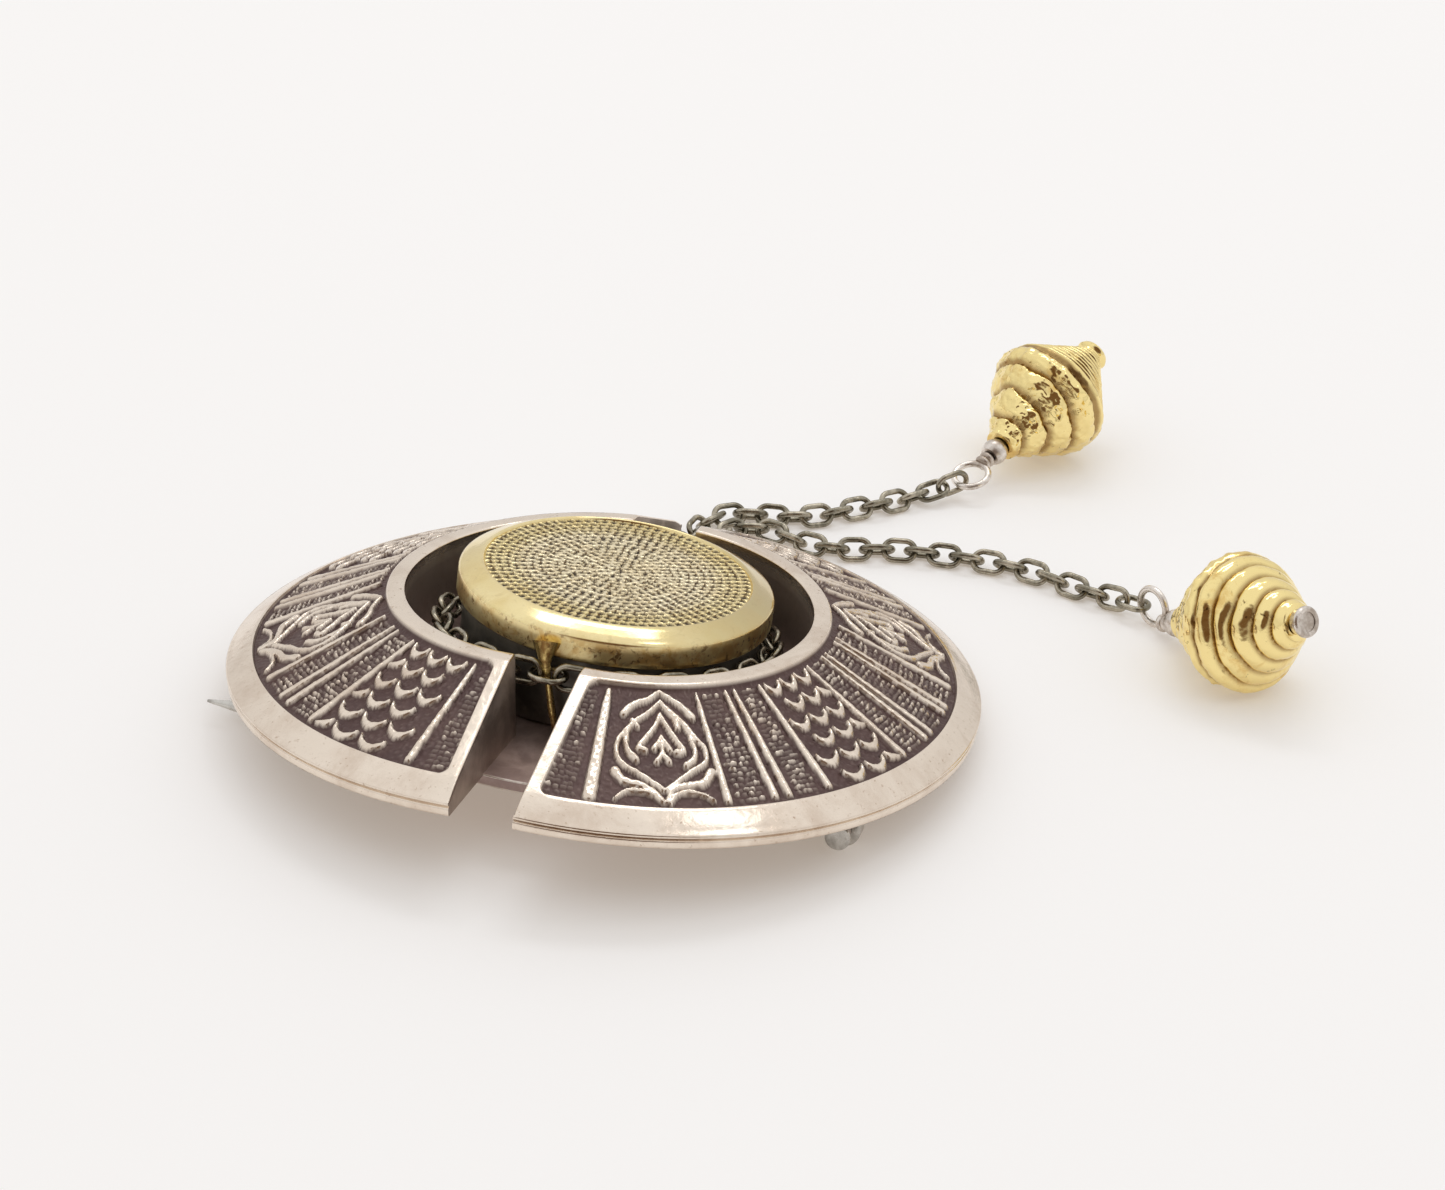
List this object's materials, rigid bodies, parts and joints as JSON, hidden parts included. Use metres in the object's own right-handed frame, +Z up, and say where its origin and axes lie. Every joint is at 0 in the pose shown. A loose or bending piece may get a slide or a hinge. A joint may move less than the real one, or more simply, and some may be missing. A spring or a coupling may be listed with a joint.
{
  "type": "brooch pin",
  "caption": "Round brooch of two silver-tone relief half saucers round a gold-tone button, with a hinged pin behind and a chain from its back slot to two ribbed gold-tone finials.",
  "frame": {"origin": "on the table under the middle of the brooch's back plate, as the brooch lies", "axes": "+Z up from the table, +Y to the back slot where the chain leaves, +X to the pin's hinge"},
  "size_m": [0.0695, 0.0756, 0.0111],
  "materials": {
    "cast_silver": "cast silver tone, bright on its borders and relief and dark in its sunk field",
    "oxidised_silver": "dull dark grey",
    "button_gold": "polished pale gold bevel round a pitted centre",
    "pin_metal": "drawn wire",
    "gunmetal": "dark polished wire",
    "finial_gold": "bright polished yellow gold tone with dark grooves",
    "bright_silver": "worn bright silver"
  },
  "bodies": {
    "brooch": {"silver_frame": "cast_silver", "centre_drum": "oxidised_silver", "gold_button": "button_gold", "hinge_rivet": "pin_metal", "chain_to_near_finial": "gunmetal", "chain_to_far_finial": "gunmetal", "near_gold_bead": "finial_gold", "near_neck_bead": "bright_silver", "near_headpin": "bright_silver", "far_gold_bead": "finial_gold", "far_neck_bead": "bright_silver", "far_headpin": "bright_silver"},
    "pin": {"pin_stem": "pin_metal"}
  },
  "joints": [
    {"name": "pin_hinge", "type": "hinge", "parent": "brooch", "child": "pin", "pos_m": [0.0192, -0.01061, 0.00137], "axis": [0, -0.9942, 0.108], "range_deg": [0, 80]}
  ]
}
